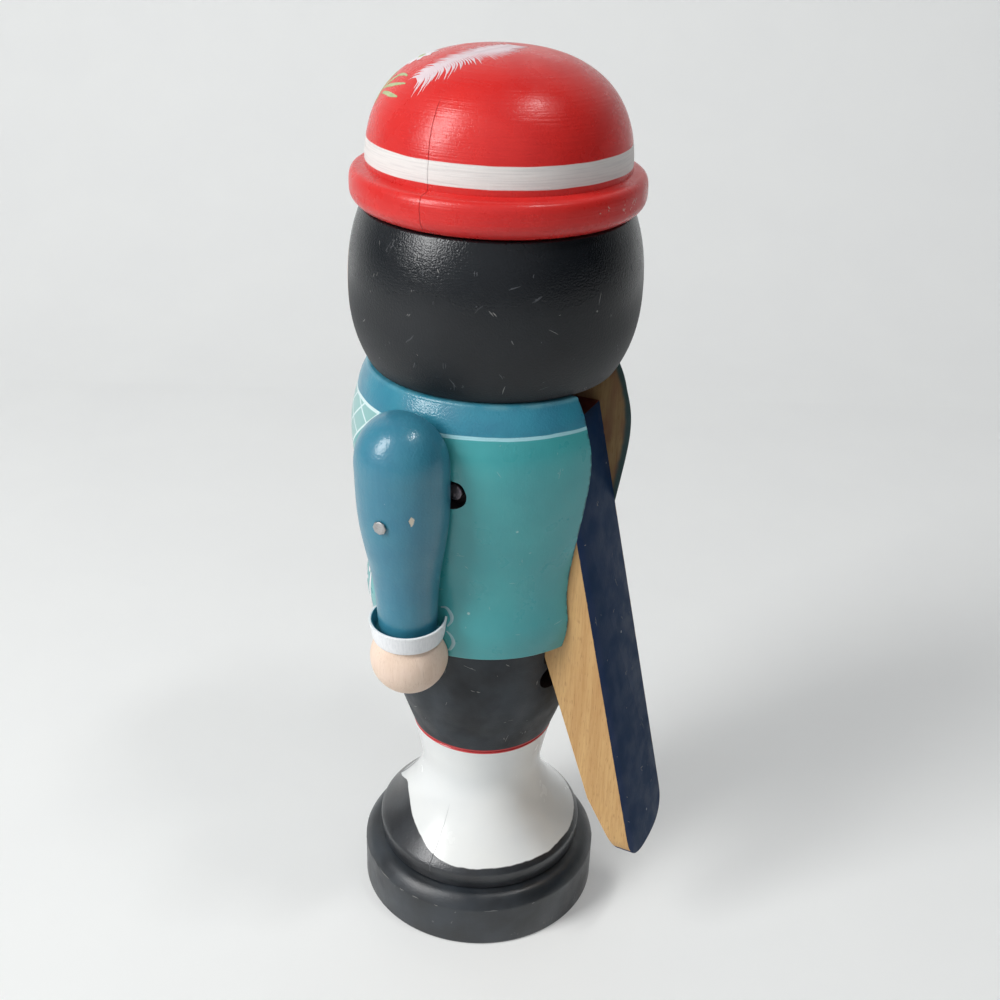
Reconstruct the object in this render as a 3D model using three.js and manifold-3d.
// A turned wooden nutcracker: stacked sections on dowels, a lever that is jaw and handle in one,
// and two flat-backed arms. Millimetres, +Z up, the figure faces -Y, its left arm is at +X,
// and the origin is the centre of the base's underside.

import * as THREE from 'three';
import { mergeVertices } from 'three/addons/utils/BufferGeometryUtils.js';
import Module from 'manifold-3d';

// Driving dimensions

const GLUE_GAP = 0.3;          // between sections that rest on each other
const PEG_GAP = 0.3;           // around every dowel, pin and nail in its hole, and at a dowel's ends
const LEVER_SIDE_GAP = 0.5;    // each side of the lever in its slot
const JAW_ROOF_GAP = 1.4;      // closed jaw below the roof of the mouth

const BLANK_RADIUS = 43.3;     // the wood that head and chest are turned from
const CHEST_CUT = 0.5;         // what the lathe takes off it at the chest

const BASE = { radius: 41.4, height: 21.5, edge: 5, lowerEdge: 1 };

const FOOT = {
  height: 47.8,
  soleRadius: 36.6,
  rimRadius: 37.4, rimRise: 2.4,
  skirtRadius: 29.4, skirtRise: 11.2,
  shinRadius: 23.5, shinRise: 20,
  ankleRadius: 20.8, ankleRise: 28.8,
  calfRadius: 22.1, calfRise: 38.7,
  garterRadius: 24.2,
};

const BREECHES = {
  height: 46,
  thighRadius: 29.6, thighRise: 16,
  hipRadius: 32, hipRise: 27.5,
  waistRadius: 33.4,
};

const TORSO = {
  height: 85.1,
  hemRadius: 36.8,
  skirtRadius: 39.3, skirtRise: 9,
  waistRadius: 38.7, waistRise: 25,
  chestRadius: BLANK_RADIUS - CHEST_CUT, chestRise: 61,
  shoulderRadius: 40.7, shoulderRise: 77,
  collarRadius: 36.8,
};

const HEAD = {
  height: 46.4,
  radius: BLANK_RADIUS, equatorRise: 23.8,
  lowerReach: 40.7, upperReach: 45.5,   // half heights of the whole ball, below and above its equator
  power: 2.27,                          // 2 is an ellipse, more is squarer
};

const HAT = {
  brimRadius: 42.4, brimHeight: 10, brimRoll: 4.8,
  bandRadius: 37.9, crownHeight: 32.8, crownPower: 2.5,
};

const DOWEL = { radius: 5, depth: 12 };
const NECK_DOWEL = { radius: 4, depth: 10, out: 26 };
const WRIST_DOWEL = { radius: 2, depth: 9 };
const PIN = { radius: 2.6, recess: 3, boreRadius: 4.1, boreDepth: 5 };

// The pivot stands behind the axis and below the collar
const PIVOT = { back: 7.6, belowCollar: 26.3 };

// The lever's outline, measured from its pivot: back is +, up is +
const LEVER = {
  width: 32,
  jawTop: 33.6, jawBottom: -17, lipDepth: 26,
  cupFloor: 12, cupFront: -21.6, cupSlope: 12,
  heelBack: 20.4,
  chinBack: -12.6,
  elbowBack: 9.5, elbowDrop: 32,
  shankBack: 21.8, shankDrop: 67,
  gripBack: 38.8, gripDrop: 114.8,
  tipBack: 55.9, tipDrop: 137.4, tipThickness: 4,
  tipRound: 6.2,
};
const JAW_INSET = 0.6;         // the jaw's front, inside the figure's turned outline
const SLOT_FRONT_DROP = 39;    // floor of the slot's front opening, below the pivot
const SLOT_BACK_GAP = 3;       // between the handle's front edge and the slot's wall
const MOUTH_DEPTH = 38;        // from the head's widest front back to the mouth's rear wall

// The arms, measured in a frame on the flat back at chest height: x is out from the jacket
const ARM = {
  forward: 6, lean: 3, axisOut: 3.4, wristStep: 0.9,
  shoulderRadius: 13.5, shoulderRise: 7, topRise: 22.2, domePower: 2.2,
  elbowRadius: 12.9, elbowDrop: 10.8,
  forearmRadius: 10, forearmDrop: 31.7,
  wristRadius: 8.9, wristDrop: 49.2,
};
const CUFF = { rimRadius: 11.5, rimRise: 3.7, wall: 0.9, floorRadius: 9.6, bottomRadius: 10.4, floor: 2.9 };
const HAND = { radius: 12, neckRise: 7.2 };
const NAIL = { radius: 1.3, headRadius: 1.9, headHeight: 1.1, headSides: 8, drop: 6.8, length: 29 };

const NOSE = { radius: 4.6, reach: 3.9, edge: 1.2, pegRadius: 2, pegLength: 8, aboveMouth: 12 };

const LARGE_SIDES = 36;
const ARM_SIDES = 24;
const PEG_SIDES = 16;
const MERGE_TOLERANCE = 1e-5;

// Heights of the stacked sections, from the floor up

const footZ = BASE.height + GLUE_GAP;
const breechesZ = footZ + FOOT.height + GLUE_GAP;
const torsoZ = breechesZ + BREECHES.height + GLUE_GAP;
const collarZ = torsoZ + TORSO.height;
const headZ = collarZ + GLUE_GAP;
const hatZ = headZ + HEAD.height + GLUE_GAP;
const pivotZ = collarZ - PIVOT.belowCollar;
const mouthRoofZ = pivotZ + LEVER.jawTop + JAW_ROOF_GAP;
const slotWidth = LEVER.width + 2 * LEVER_SIDE_GAP;
const farOut = 3 * HEAD.radius;

// Materials

const paint = (color, roughness) => new THREE.MeshStandardMaterial({ color, roughness, metalness: 0 });
const blackPaint = paint(0x24272b, 0.45);
const whitePaint = paint(0xe9e9e6, 0.3);
const jacketPaint = paint(0x4c9499, 0.35);
const sleevePaint = paint(0x3b7791, 0.35);
const redPaint = paint(0xcf2f33, 0.35);
const bluePaint = paint(0x26375a, 0.5);
const bareBeech = paint(0xd0a063, 0.7);
const paleWood = paint(0xe2c8b0, 0.75);
const steel = new THREE.MeshStandardMaterial({ color: 0x8f8f8f, roughness: 0.4, metalness: 1 });

// Solids and meshes

const wasm = await Module();
wasm.setup();

function toSolid(geometry) {
  const bare = geometry.clone();
  bare.deleteAttribute('normal');
  bare.deleteAttribute('uv');
  const merged = mergeVertices(bare, MERGE_TOLERANCE);
  const corners = merged.index.array;
  const kept = [];
  for (let i = 0; i < corners.length; i += 3) {
    const [a, b, c] = [corners[i], corners[i + 1], corners[i + 2]];
    if (a !== b && b !== c && c !== a) {
      kept.push(a, b, c);
    }
  }
  const mesh = new wasm.Mesh({
    numProp: 3,
    vertProperties: new Float32Array(merged.attributes.position.array),
    triVerts: new Uint32Array(kept),
  });
  return new wasm.Manifold(mesh);
}

function toMesh(name, solid, material) {
  const { vertProperties, triVerts } = solid.getMesh();
  const geometry = new THREE.BufferGeometry();
  geometry.setAttribute('position', new THREE.BufferAttribute(vertProperties, 3));
  geometry.setIndex(new THREE.BufferAttribute(triVerts, 1));
  geometry.computeVertexNormals();
  const mesh = new THREE.Mesh(geometry, material);
  mesh.name = name;
  return mesh;
}

// A solid turned about Z from points (radius, height), bottom to top
function turned(points, sides = LARGE_SIDES) {
  const profile = points.map(([r, z]) => new THREE.Vector2(r, z));
  return new THREE.LatheGeometry(profile, sides).rotateX(Math.PI / 2);
}

function rod(radius, bottom, top, sides = PEG_SIDES) {
  return turned([[0, bottom], [radius, bottom], [radius, top], [0, top]], sides);
}

// A rod along X, centred on x = 0
function crossRod(radius, length, y, z) {
  return rod(radius, -length / 2, length / 2).rotateY(Math.PI / 2).translate(0, y, z);
}

function block(from, to) {
  const size = to.map((v, i) => v - from[i]);
  const middle = to.map((v, i) => (v + from[i]) / 2);
  return new THREE.BoxGeometry(...size).translate(...middle);
}

// A shape drawn in (y, z), extruded along X to the given width
function sideSlab(shape, width, curveSteps) {
  const geometry = new THREE.ExtrudeGeometry(shape, { depth: width, bevelEnabled: false, curveSegments: curveSteps });
  const yzToWorld = new THREE.Matrix4().set(
    0, 0, 1, -width / 2,
    1, 0, 0, 0,
    0, 1, 0, 0,
    0, 0, 0, 1,
  );
  return geometry.applyMatrix4(yzToWorld);
}

// Smooth outline through (radius, height) points
function smooth(points, steps) {
  const curve = new THREE.SplineCurve(points.map(([r, z]) => new THREE.Vector2(r, z)));
  return curve.getPoints(steps).map((p) => [p.x, p.y]);
}

function arcPoints(centre, radius, fromDegrees, toDegrees, steps) {
  const points = [];
  for (let i = 0; i <= steps; i += 1) {
    const angle = THREE.MathUtils.degToRad(THREE.MathUtils.lerp(fromDegrees, toDegrees, i / steps));
    points.push([centre[0] + radius * Math.cos(angle), centre[1] + radius * Math.sin(angle)]);
  }
  return points;
}

const superRadius = (radius, share, power) => radius * (1 - Math.abs(share) ** power) ** (1 / power);

// Blind dowel holes, as the start or end of a turned profile
const holeAbove = (floorZ, hole) => [[0, floorZ + hole.depth], [hole.radius + PEG_GAP, floorZ + hole.depth],
  [hole.radius + PEG_GAP, floorZ]];
const holeBelow = (topZ, hole) => [[hole.radius + PEG_GAP, topZ], [hole.radius + PEG_GAP, topZ - hole.depth],
  [0, topZ - hole.depth]];

// A dowel that bridges two sections, its middle at the joint between them
function dowel(name, jointZ, hole, x = 0) {
  const reach = hole.depth - PEG_GAP;
  const geometry = rod(hole.radius, jointZ - reach, jointZ + GLUE_GAP + reach).translate(x, 0, 0);
  return toMesh(name, toSolid(geometry), paleWood);
}

// Turned sections

function makeBase() {
  const edgeCentre = [BASE.radius - BASE.edge, BASE.height - BASE.edge];
  const points = [
    [0, 0],
    [BASE.radius - BASE.lowerEdge, 0],
    [BASE.radius, BASE.lowerEdge],
    ...arcPoints(edgeCentre, BASE.edge, 0, 90, 5),
    ...holeBelow(BASE.height, DOWEL),
  ];
  return toMesh('base', toSolid(turned(points)), blackPaint);
}

function makeFoot() {
  const top = footZ + FOOT.height;
  const points = [
    ...holeAbove(footZ, DOWEL),
    [FOOT.soleRadius, footZ],
    ...smooth([
      [FOOT.rimRadius, footZ + FOOT.rimRise],
      [FOOT.skirtRadius, footZ + FOOT.skirtRise],
      [FOOT.shinRadius, footZ + FOOT.shinRise],
      [FOOT.ankleRadius, footZ + FOOT.ankleRise],
      [FOOT.calfRadius, footZ + FOOT.calfRise],
      [FOOT.garterRadius, top],
    ], 12),
    ...holeBelow(top, DOWEL),
  ];
  return toMesh('foot', toSolid(turned(points)), whitePaint);
}

function makeBreeches() {
  const top = breechesZ + BREECHES.height;
  const points = [
    ...holeAbove(breechesZ, DOWEL),
    ...smooth([
      [FOOT.garterRadius, breechesZ],
      [BREECHES.thighRadius, breechesZ + BREECHES.thighRise],
      [BREECHES.hipRadius, breechesZ + BREECHES.hipRise],
      [BREECHES.waistRadius, top],
    ], 8),
    ...holeBelow(top, DOWEL),
  ];
  return toMesh('breeches', toSolid(turned(points)).subtract(slotCut()), blackPaint);
}

const torsoOutline = smooth([
  [TORSO.hemRadius, torsoZ],
  [TORSO.skirtRadius, torsoZ + TORSO.skirtRise],
  [TORSO.waistRadius, torsoZ + TORSO.waistRise],
  [TORSO.chestRadius, torsoZ + TORSO.chestRise],
  [TORSO.shoulderRadius, torsoZ + TORSO.shoulderRise],
  [TORSO.collarRadius, collarZ],
], 14);

function headRadiusAt(rise) {
  const fromEquator = rise - HEAD.equatorRise;
  const reach = fromEquator < 0 ? HEAD.lowerReach : HEAD.upperReach;
  return superRadius(HEAD.radius, fromEquator / reach, HEAD.power);
}

const HEAD_STEPS = 10;
const headOutline = Array.from({ length: HEAD_STEPS + 1 }, (_, i) => {
  const rise = (HEAD.height * i) / HEAD_STEPS;
  return [headRadiusAt(rise), headZ + rise];
});

// The lever's outline in (back, up) from the pivot, cut round at the handle's end and,
// in front, to the figure's own turned outline

function leverShape() {
  const shape = new THREE.Shape();
  const lipFront = -farOut;
  const lipBack = -(TORSO.chestRadius + PIVOT.back - LEVER.lipDepth + LEVER.cupSlope);
  shape.moveTo(LEVER.heelBack, LEVER.cupFloor);
  shape.lineTo(LEVER.cupFront, LEVER.cupFloor);
  shape.quadraticCurveTo(lipBack, LEVER.cupFloor, lipBack, LEVER.jawTop);
  shape.lineTo(lipFront, LEVER.jawTop);
  shape.lineTo(lipFront, LEVER.jawBottom);
  shape.lineTo(LEVER.chinBack, LEVER.jawBottom);
  shape.quadraticCurveTo(0, LEVER.jawBottom, LEVER.elbowBack, -LEVER.elbowDrop);
  shape.lineTo(LEVER.shankBack, -LEVER.shankDrop);
  shape.quadraticCurveTo(
    (LEVER.shankBack + LEVER.gripBack) / 2, -(LEVER.shankDrop + LEVER.gripDrop) / 2,
    LEVER.gripBack, -LEVER.gripDrop,
  );
  shape.lineTo(LEVER.tipBack - LEVER.tipThickness, -LEVER.tipDrop);
  shape.lineTo(LEVER.tipBack, -LEVER.tipDrop);
  shape.closePath();
  return shape;
}

// Front view of the lever: straight sides, with the handle's end a shallow arc
function leverFrontShape() {
  const half = LEVER.width / 2;
  const endRadius = (half ** 2 + LEVER.tipRound ** 2) / (2 * LEVER.tipRound);
  const spread = Math.asin(half / endRadius);
  const shape = new THREE.Shape();
  shape.absarc(0, endRadius - LEVER.tipDrop, endRadius, -Math.PI / 2 - spread, -Math.PI / 2 + spread, false);
  shape.lineTo(half, LEVER.jawTop);
  shape.lineTo(-half, LEVER.jawTop);
  shape.closePath();
  return shape;
}

// Everything behind the pivot, and inside the turned outline in front of it
function leverTrim() {
  const inset = [...torsoOutline, ...headOutline].map(([r, z]) => [r - JAW_INSET, z]);
  const figure = toSolid(turned([[0, inset[0][1]], ...inset, [0, inset.at(-1)[1]]]));
  const behind = toSolid(block([-farOut, 0, 0], [farOut, farOut, hatZ]));
  return figure.add(behind);
}

function makeLever() {
  const side = toSolid(sideSlab(leverShape(), LEVER.width, 6).translate(0, PIVOT.back, pivotZ));
  const frontSlab = new THREE.ExtrudeGeometry(leverFrontShape(), {
    depth: 2 * farOut, bevelEnabled: false, curveSegments: 10,
  });
  const front = toSolid(frontSlab.rotateX(Math.PI / 2).translate(0, farOut, pivotZ));
  const pinHole = toSolid(crossRod(PIN.radius + PEG_GAP, slotWidth, PIVOT.back, pivotZ));
  const solid = side.intersect(front).intersect(leverTrim()).subtract(pinHole);
  return toMesh('lever', solid, bluePaint);
}

// The slot through the jacket: full height behind, in front down to the jaw's lowest swing,
// with a back wall along the handle's front edge that runs out through the breeches
function slotShape() {
  const floorDrop = SLOT_FRONT_DROP;
  const slope = (LEVER.shankBack - LEVER.elbowBack) / (LEVER.shankDrop - LEVER.elbowDrop);
  const wallAt = (drop) => PIVOT.back + LEVER.elbowBack - SLOT_BACK_GAP + slope * (drop - LEVER.elbowDrop);
  const runOutDrop = LEVER.elbowDrop + (TORSO.chestRadius - wallAt(LEVER.elbowDrop)) / slope;
  const shape = new THREE.Shape();
  shape.moveTo(farOut, pivotZ - runOutDrop);
  shape.lineTo(farOut, hatZ);
  shape.lineTo(-farOut, hatZ);
  shape.lineTo(-farOut, pivotZ - floorDrop);
  shape.lineTo(wallAt(floorDrop), pivotZ - floorDrop);
  shape.lineTo(wallAt(runOutDrop), pivotZ - runOutDrop);
  shape.closePath();
  return shape;
}

const slotCut = () => toSolid(sideSlab(slotShape(), slotWidth, 1));

function makeTorso(nailHoles) {
  const points = [...holeAbove(torsoZ, DOWEL), ...torsoOutline, [0, collarZ]];
  let solid = toSolid(turned(points)).subtract(slotCut());
  solid = solid.subtract(toSolid(crossRod(PIN.radius + PEG_GAP, 2 * farOut, PIVOT.back, pivotZ)));
  const pinReach = pinHalfLength() + PIN.recess;
  for (const side of [-1, 1]) {
    const bore = rod(PIN.boreRadius, 0, farOut).rotateY((side * Math.PI) / 2);
    bore.translate(side * (pinReach - PIN.boreDepth), PIVOT.back, pivotZ);
    const neckHole = rod(NECK_DOWEL.radius + PEG_GAP, collarZ - NECK_DOWEL.depth, hatZ);
    neckHole.translate(side * NECK_DOWEL.out, 0, 0);
    solid = solid.subtract(toSolid(bore)).subtract(toSolid(neckHole));
  }
  for (const hole of nailHoles) {
    solid = solid.subtract(toSolid(hole));
  }
  return toMesh('torso', solid, jacketPaint);
}

// The pin's ends lie a little below the jacket's surface
function pinHalfLength() {
  return Math.sqrt(TORSO.chestRadius ** 2 - PIVOT.back ** 2) - PIN.recess;
}

function makePin() {
  const solid = toSolid(crossRod(PIN.radius, 2 * pinHalfLength(), PIVOT.back, pivotZ));
  return toMesh('pivot_pin', solid, steel);
}

const noseZ = mouthRoofZ + NOSE.aboveMouth;
const noseFront = -(headRadiusAt(noseZ - headZ) + GLUE_GAP);

function makeHead() {
  const top = headZ + HEAD.height;
  let solid = toSolid(turned([[0, headZ], ...headOutline, ...holeBelow(top, DOWEL)]));
  const mouth = block([-slotWidth / 2, -farOut, 0], [slotWidth / 2, MOUTH_DEPTH - HEAD.radius, mouthRoofZ]);
  solid = solid.subtract(toSolid(mouth));
  for (const side of [-1, 1]) {
    const hole = rod(NECK_DOWEL.radius + PEG_GAP, 0, headZ + NECK_DOWEL.depth);
    solid = solid.subtract(toSolid(hole.translate(side * NECK_DOWEL.out, 0, 0)));
  }
  const pegHole = rod(NOSE.pegRadius + PEG_GAP, -(NOSE.pegLength + PEG_GAP), farOut);
  pegHole.rotateX(Math.PI / 2).translate(0, noseFront, noseZ);
  return toMesh('head', solid.subtract(toSolid(pegHole)), blackPaint);
}

function makeNose() {
  const tip = Array.from({ length: 5 }, (_, i) => {
    const share = i / 5;
    return [superRadius(NOSE.radius, share, 2), NOSE.edge + (NOSE.reach - NOSE.edge) * share];
  });
  const points = [[0, -NOSE.pegLength], [NOSE.pegRadius, -NOSE.pegLength], [NOSE.pegRadius, 0],
    [NOSE.radius, 0], ...tip, [0, NOSE.reach]];
  const geometry = turned(points, PEG_SIDES).rotateX(Math.PI / 2).translate(0, noseFront, noseZ);
  return toMesh('nose', toSolid(geometry), paleWood);
}

function makeHat() {
  const crownZ = hatZ + HAT.brimHeight;
  const rollCentre = [HAT.brimRadius - HAT.brimRoll, hatZ + HAT.brimRoll];
  const crownSteps = 9;
  const crown = Array.from({ length: crownSteps }, (_, i) => {
    const share = Math.sin((i / crownSteps) * (Math.PI / 2));
    return [superRadius(HAT.bandRadius, share, HAT.crownPower), crownZ + HAT.crownHeight * share];
  });
  const points = [
    ...holeAbove(hatZ, DOWEL),
    ...arcPoints(rollCentre, HAT.brimRoll, -80, 70, 8),
    ...crown,
    [0, crownZ + HAT.crownHeight],
  ];
  return toMesh('hat', toSolid(turned(points)), redPaint);
}

// Arms, each in a frame whose x = 0 plane is the sleeve's flat back. The jacket is narrower lower down,
// so the cuff and hand reach a step further in, and nothing comes closer to the jacket than the glue gap

function armFrame(side) {
  const leaning = new THREE.Group();
  leaning.rotation.y = THREE.MathUtils.degToRad(ARM.lean);
  const arm = new THREE.Group();
  arm.position.set(side * (TORSO.chestRadius + GLUE_GAP), -ARM.forward, torsoZ + TORSO.chestRise);
  arm.rotation.z = side > 0 ? 0 : Math.PI;
  arm.add(leaning);
  arm.updateMatrixWorld(true);
  return { arm, leaning };
}

function jacketKeepOut() {
  const wider = torsoOutline.map(([r, z]) => [r + GLUE_GAP, z]);
  const geometry = turned([[0, torsoZ], ...wider, [0, collarZ]]);
  return toSolid(geometry.applyMatrix4(armFrame(1).leaning.matrixWorld.clone().invert()));
}

const keepOut = jacketKeepOut();
const outsideOf = (x) => toSolid(block([x, -farOut, -farOut], [farOut, farOut, farOut])).subtract(keepOut);
const sleeveSide = outsideOf(0);
const wristSide = outsideOf(-ARM.wristStep);
const cuffFloorZ = -ARM.wristDrop - GLUE_GAP;
const cuffBottomZ = cuffFloorZ - CUFF.floor;
const handTopZ = cuffBottomZ - GLUE_GAP;
const wristJointZ = (cuffFloorZ + cuffBottomZ) / 2;

const onArmAxis = (points, side) => toSolid(turned(points, ARM_SIDES).translate(ARM.axisOut, 0, 0)).intersect(side);

function nailGeometry(radius, headRadius, fromX, headX, headHeight) {
  const points = [[0, fromX], [radius, fromX], [radius, headX], [headRadius, headX],
    [headRadius, headX + headHeight], [0, headX + headHeight]];
  return turned(points, NAIL.headSides).rotateY(Math.PI / 2).translate(0, 0, -NAIL.drop);
}

const nailHeadX = ARM.axisOut + ARM.elbowRadius + (ARM.shoulderRadius - ARM.elbowRadius) / 2;

function nailHole() {
  const hole = rod(NAIL.radius + PEG_GAP, nailHeadX - NAIL.length - PEG_GAP, farOut, NAIL.headSides);
  return hole.rotateY(Math.PI / 2).translate(0, 0, -NAIL.drop);
}

function makeSleeve(name) {
  const dome = Array.from({ length: 6 }, (_, i) => {
    const share = Math.sin((i / 6) * (Math.PI / 2));
    const rise = (ARM.topRise - ARM.shoulderRise) * share;
    return [superRadius(ARM.shoulderRadius, share, ARM.domePower), ARM.shoulderRise + rise];
  });
  const points = [
    ...holeAbove(-ARM.wristDrop, WRIST_DOWEL),
    ...smooth([
      [ARM.wristRadius, -ARM.wristDrop],
      [ARM.forearmRadius, -ARM.forearmDrop],
      [ARM.elbowRadius, -ARM.elbowDrop],
    ], 5),
    ...dome,
    [0, ARM.topRise],
  ];
  return toMesh(name, onArmAxis(points, sleeveSide).subtract(toSolid(nailHole())), sleevePaint);
}

function makeCuff(name) {
  const rimZ = cuffFloorZ + CUFF.rimRise;
  const bore = WRIST_DOWEL.radius + PEG_GAP;
  const points = [
    [bore, cuffBottomZ],
    [CUFF.bottomRadius, cuffBottomZ],
    [CUFF.rimRadius, rimZ],
    [CUFF.rimRadius - CUFF.wall, rimZ],
    [CUFF.floorRadius, cuffFloorZ],
    [bore, cuffFloorZ],
    [bore, cuffBottomZ],
  ];
  return toMesh(name, onArmAxis(points, wristSide), whitePaint);
}

function makeHand(name) {
  const centreZ = handTopZ - HAND.neckRise;
  const neckAngle = THREE.MathUtils.radToDeg(Math.asin(HAND.neckRise / HAND.radius));
  const ball = arcPoints([0, centreZ], HAND.radius, -90, neckAngle, 10).slice(1);
  const points = [[0, centreZ - HAND.radius], ...ball, ...holeBelow(handTopZ, WRIST_DOWEL)];
  return toMesh(name, onArmAxis(points, wristSide), paleWood);
}

function makeWristDowel(name) {
  const bottom = handTopZ - WRIST_DOWEL.depth + PEG_GAP;
  const top = -ARM.wristDrop + WRIST_DOWEL.depth - PEG_GAP;
  return toMesh(name, toSolid(rod(WRIST_DOWEL.radius, bottom, top).translate(ARM.axisOut, 0, 0)), paleWood);
}

function makeNail(name) {
  const shank = nailGeometry(NAIL.radius, NAIL.headRadius, nailHeadX - NAIL.length, nailHeadX + GLUE_GAP, NAIL.headHeight);
  return toMesh(name, toSolid(shank), steel);
}

function makeArm(side) {
  const hand = side > 0 ? 'left' : 'right';
  const { arm, leaning } = armFrame(side);
  leaning.add(
    makeSleeve(`sleeve_${hand}`),
    makeCuff(`cuff_${hand}`),
    makeHand(`hand_${hand}`),
    makeWristDowel(`wrist_dowel_${hand}`),
    makeNail(`arm_nail_${hand}`),
  );
  return { arm, hole: nailHole().applyMatrix4(leaning.matrixWorld) };
}

// The assembly

const arms = [1, -1].map(makeArm);
const nutcracker = new THREE.Group();
nutcracker.add(
  makeBase(),
  dowel('base_dowel', BASE.height, DOWEL),
  makeFoot(),
  dowel('knee_dowel', footZ + FOOT.height, DOWEL),
  makeBreeches(),
  dowel('waist_dowel', breechesZ + BREECHES.height, DOWEL),
  makeTorso(arms.map(({ hole }) => hole)),
  dowel('neck_dowel_left', collarZ, NECK_DOWEL, NECK_DOWEL.out),
  dowel('neck_dowel_right', collarZ, NECK_DOWEL, -NECK_DOWEL.out),
  makeHead(),
  makeNose(),
  dowel('hat_dowel', headZ + HEAD.height, DOWEL),
  makeHat(),
  makeLever(),
  makePin(),
  ...arms.map(({ arm }) => arm),
);

export default nutcracker;
